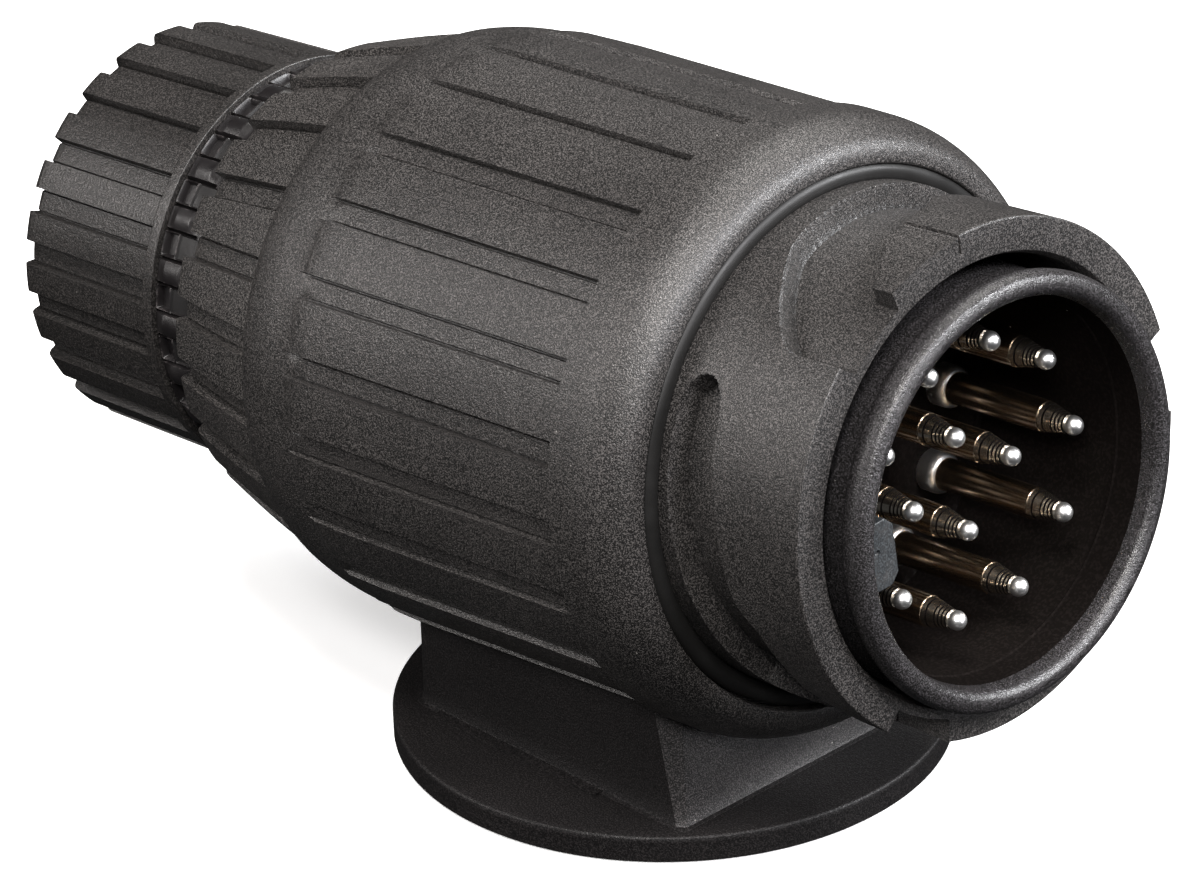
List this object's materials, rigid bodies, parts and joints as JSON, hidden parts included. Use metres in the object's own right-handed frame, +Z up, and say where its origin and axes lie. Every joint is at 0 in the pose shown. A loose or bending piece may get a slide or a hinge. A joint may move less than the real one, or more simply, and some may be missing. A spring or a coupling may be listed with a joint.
{
  "type": "trailer wiring connector",
  "caption": "Multi-pin trailer wiring plug with a twist-lock collar, ribbed cable gland nut and a round foot.",
  "frame": {"origin": "centre of the round foot's flat underside", "axes": "+X towards the mouth of the plug, +Y to the side, +Z up from the foot"},
  "size_m": [0.1115, 0.056, 0.0642],
  "materials": {
    "grip_black": "spark-eroded grain",
    "insert_black": "fine grain",
    "nut_black": "satin",
    "gloss_black": "gloss",
    "seal_rubber": "smooth",
    "nickel_plate": "nickel plated",
    "brass_screw": "machined",
    "spring_steel": "plain"
  },
  "bodies": {
    "grip": {"grip_sleeve": "grip_black", "grip_foot": "grip_black", "front_seal": "seal_rubber", "retaining_ring": "spring_steel"},
    "insert": {"contact_tube": "insert_black", "contact_carrier": "insert_black", "terminal_block": "insert_black", "rear_housing": "grip_black", "rear_seal": "seal_rubber", "detent_spring": "spring_steel", "claw_ring": "gloss_black", "cable_grommet": "seal_rubber", "pin_01": "nickel_plate", "pin_02": "nickel_plate", "pin_03": "nickel_plate", "pin_04": "nickel_plate", "pin_05": "nickel_plate", "pin_06": "nickel_plate", "pin_07": "nickel_plate", "pin_08": "nickel_plate", "pin_09": "nickel_plate", "pin_10": "nickel_plate", "pin_11": "nickel_plate", "pin_12": "nickel_plate", "pin_13": "nickel_plate", "terminal_screw_01": "brass_screw", "terminal_screw_02": "brass_screw", "terminal_screw_03": "brass_screw", "terminal_screw_04": "brass_screw", "terminal_screw_05": "brass_screw", "terminal_screw_06": "brass_screw", "terminal_screw_07": "brass_screw", "terminal_screw_08": "brass_screw", "terminal_screw_09": "brass_screw", "terminal_screw_10": "brass_screw", "terminal_screw_11": "brass_screw", "terminal_screw_12": "brass_screw", "terminal_screw_13": "brass_screw"},
    "gland_slide": {"thrust_washer": "spring_steel"},
    "cap_nut": {"cap_nut": "nut_black"}
  },
  "joints": [
    {"name": "bayonet_twist", "type": "hinge", "parent": "grip", "child": "insert", "pos_m": [0.0425, 0, 0.0387], "axis": [-0.9957, 0, -0.0924], "range_deg": [0, 90]},
    {"name": "gland_advance", "type": "slide", "parent": "insert", "child": "gland_slide", "axis": [-0.9957, 0, -0.0924], "range_m": [0, 0.00401]},
    {"name": "cap_nut_turn", "type": "hinge", "parent": "gland_slide", "child": "cap_nut", "pos_m": [0.0425, 0, 0.0387], "axis": [-0.9957, 0, -0.0924], "range_deg": [0, 720]}
  ],
  "couplings": [
    {"joint": "gland_advance", "follows": "cap_nut_turn", "m_per_rad": 0.00031831}
  ]
}
